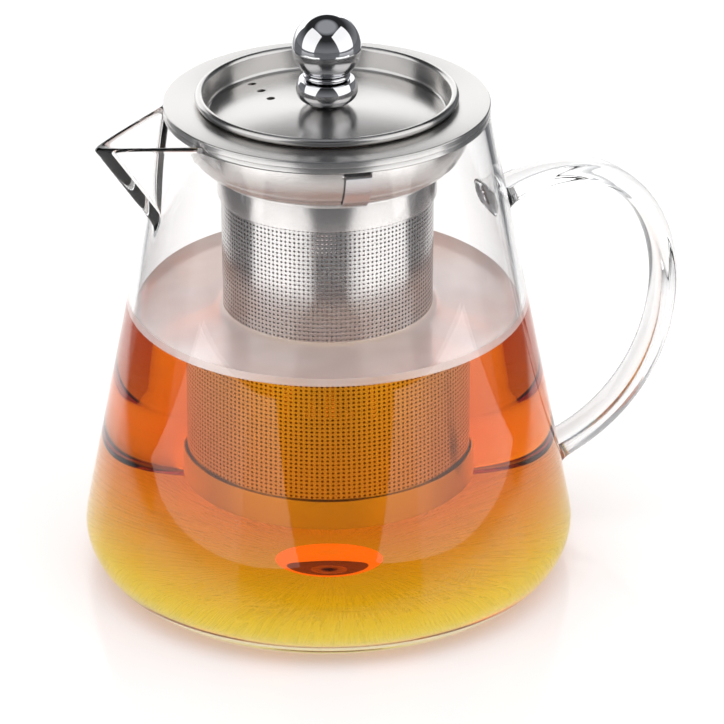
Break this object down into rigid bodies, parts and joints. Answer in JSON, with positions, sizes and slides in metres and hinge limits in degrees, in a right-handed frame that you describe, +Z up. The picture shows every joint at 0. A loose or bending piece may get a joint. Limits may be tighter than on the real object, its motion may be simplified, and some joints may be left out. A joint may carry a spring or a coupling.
{
  "type": "glass teapot with infuser",
  "caption": "Conical clear glass teapot with a drawn handle and V-shaped beak, a lift-out perforated steel infuser basket with a flat rim, and a dished steel lid with a ball knob.",
  "frame": {"origin": "centre of the jug's flat base, on the surface it stands on", "axes": "+Z up along the jug's axis, beak towards -X, handle towards +X"},
  "size_m": [0.1653, 0.1298, 0.152],
  "materials": {
    "borosilicate_glass": "clear, fire polished",
    "satin_stainless": "satin brushed",
    "polished_stainless": "mirror polished",
    "spring_stainless": "bright rolled"
  },
  "bodies": {
    "jug": {"jug_body": "borosilicate_glass", "handle": "borosilicate_glass"},
    "infuser": {"infuser_rim": "polished_stainless", "infuser_collar": "satin_stainless", "basket_band": "satin_stainless", "basket_wall": "satin_stainless", "basket_cup": "satin_stainless", "basket_floor": "satin_stainless"},
    "clip_1": {"spring_clip_1": "spring_stainless"},
    "clip_2": {"spring_clip_2": "spring_stainless"},
    "clip_3": {"spring_clip_3": "spring_stainless"},
    "lid": {"lid_plate": "satin_stainless", "knob_foot": "polished_stainless", "knob_neck": "polished_stainless", "knob_ball": "polished_stainless", "knob_screw": "spring_stainless", "knob_washer": "spring_stainless"}
  },
  "joints": [
    {"name": "infuser_lift", "type": "slide", "parent": "jug", "child": "infuser", "axis": [0, 0, 1], "range_m": [0, 0.12]},
    {"name": "lid_lift", "type": "slide", "parent": "infuser", "child": "lid", "axis": [0, 0, 1], "range_m": [0, 0.05]},
    {"name": "clip_1_flex", "type": "hinge", "parent": "infuser", "child": "clip_1", "pos_m": [-0.00507, -0.03027, 0.11258], "axis": [-0.9863, 0.165, 0], "range_deg": [0, 3], "stiffness_Nm_per_rad": 0.02},
    {"name": "clip_2_flex", "type": "hinge", "parent": "infuser", "child": "clip_2", "pos_m": [0.02875, 0.01075, 0.11258], "axis": [0.3502, -0.9367, 0], "range_deg": [0, 3], "stiffness_Nm_per_rad": 0.02},
    {"name": "clip_3_flex", "type": "hinge", "parent": "infuser", "child": "clip_3", "pos_m": [-0.02368, 0.01952, 0.11258], "axis": [0.6361, 0.7716, 0], "range_deg": [0, 3], "stiffness_Nm_per_rad": 0.02}
  ]
}
